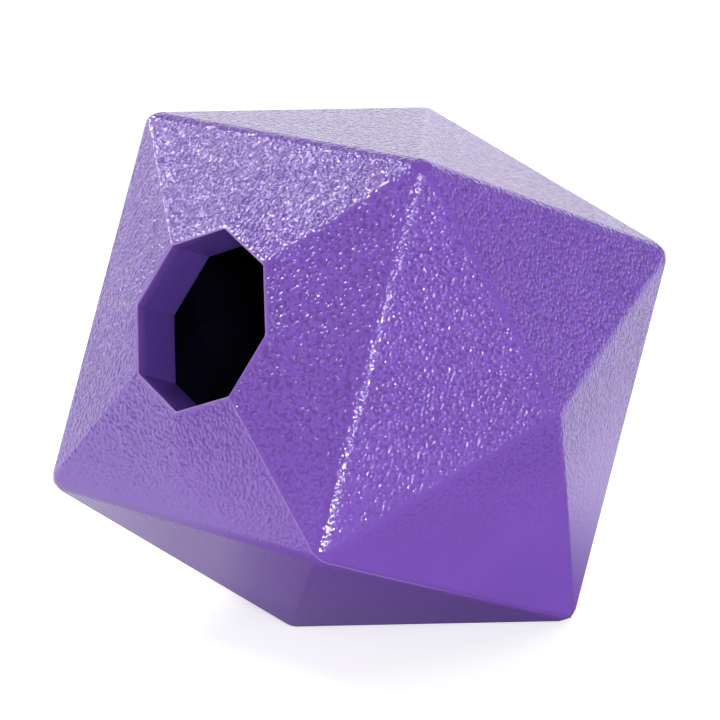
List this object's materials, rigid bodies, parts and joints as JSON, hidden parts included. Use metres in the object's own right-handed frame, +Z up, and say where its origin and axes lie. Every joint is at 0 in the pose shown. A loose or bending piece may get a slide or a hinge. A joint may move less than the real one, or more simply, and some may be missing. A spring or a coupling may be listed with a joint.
{
  "type": "treat dispensing ball",
  "caption": "Hollow faceted ball of grained purple rubber, a cube with a low pyramid on each face, whose octagonal mouth and throat let treats drop out as it is rolled.",
  "frame": {"origin": "on the floor, on the rest facet, straight under the ball's centre", "axes": "+Z up, the mouth faces -Y and a little up, +X to the right as seen from the mouth's side"},
  "size_m": [0.0836, 0.0778, 0.078],
  "materials": {
    "grained_rubber": "satin, with a moulded pebble grain",
    "smooth_rubber": "satin, smooth"
  },
  "bodies": {
    "root": {"upper_shell_half": "grained_rubber", "lower_shell_half": "grained_rubber", "throat_sleeve": "smooth_rubber"}
  },
  "joints": []
}
